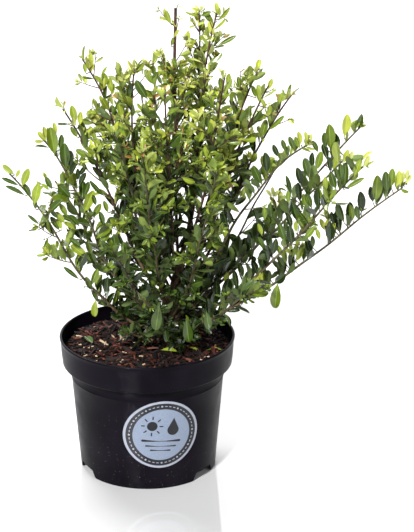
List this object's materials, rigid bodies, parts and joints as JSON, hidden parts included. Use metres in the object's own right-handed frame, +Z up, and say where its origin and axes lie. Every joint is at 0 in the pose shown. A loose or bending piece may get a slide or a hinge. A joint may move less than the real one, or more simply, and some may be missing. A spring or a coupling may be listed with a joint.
{
  "type": "potted holly shrub",
  "caption": "Young small-leaved holly shrub with slender shoots fanning out from a short trunk, in a round black nursery pot filled with bark mix.",
  "frame": {"origin": "centre of the pot's flat underside", "axes": "+Z up, -Y to the front where the round label is, +X to the right, the side that the crown leans to"},
  "size_m": [0.378, 0.2647, 0.462],
  "materials": {
    "pot_plastic": "charcoal-black moulded plastic, satin, with faint moulding rings and dry soil dust",
    "bark_mix": "damp dark-brown bark mulch in rough shreds, with paler chips of wood",
    "label_paper": "round printed paper sticker, pale silver-blue disc inside a dark blue ring and a pale edge",
    "bark": "thin brown bark, ridged at the foot, olive to purplish brown on the young shoots",
    "leaves": "small glossy oval leaves, dark green when old, lime green at the shoot tips, on thin twigs"
  },
  "bodies": {
    "root": {"pot": "pot_plastic", "potting_mix": "bark_mix", "label": "label_paper", "trunk": "bark", "bough_left_low": "bark", "foliage_left_low": "leaves", "bough_left_mid": "bark", "foliage_left_mid": "leaves", "bough_left_high": "bark", "foliage_left_high": "leaves", "bough_left_upper": "bark", "foliage_left_upper": "leaves", "foliage_left_crest": "leaves", "bough_top_right": "bark", "foliage_top_right": "leaves", "bough_top_far_right": "bark", "foliage_top_far_right": "leaves", "bough_right_crest": "bark", "foliage_right_crest": "leaves", "bough_right_high": "bark", "foliage_right_high": "leaves", "bough_right_upper": "bark", "foliage_right_upper": "leaves", "bough_right_shoulder": "bark", "foliage_right_shoulder": "leaves", "bough_right_front": "bark", "foliage_right_front": "leaves", "bough_right_far": "bark", "foliage_right_far": "leaves", "foliage_right_mid": "leaves", "bough_right_spread": "bark", "foliage_right_spread": "leaves", "bough_right_low": "bark", "foliage_right_low": "leaves", "foliage_right_foot": "leaves", "bough_front_top": "bark", "foliage_front_top": "leaves", "bough_front_left": "bark", "foliage_front_left": "leaves", "bough_front_mid": "bark", "foliage_front_mid": "leaves", "foliage_front_right": "leaves", "foliage_front_low": "leaves", "foliage_back_top": "leaves", "foliage_back_left": "leaves", "bough_back_mid": "bark", "foliage_back_mid": "leaves", "foliage_back_right": "leaves", "foliage_back_low_left": "leaves", "foliage_back_low": "leaves", "foliage_back_low_right": "leaves", "foliage_skirt_1": "leaves", "foliage_skirt_2": "leaves", "foliage_skirt_3": "leaves", "foliage_skirt_4": "leaves", "foliage_skirt_5": "leaves", "foliage_skirt_6": "leaves", "foliage_leader": "leaves"}
  },
  "joints": []
}
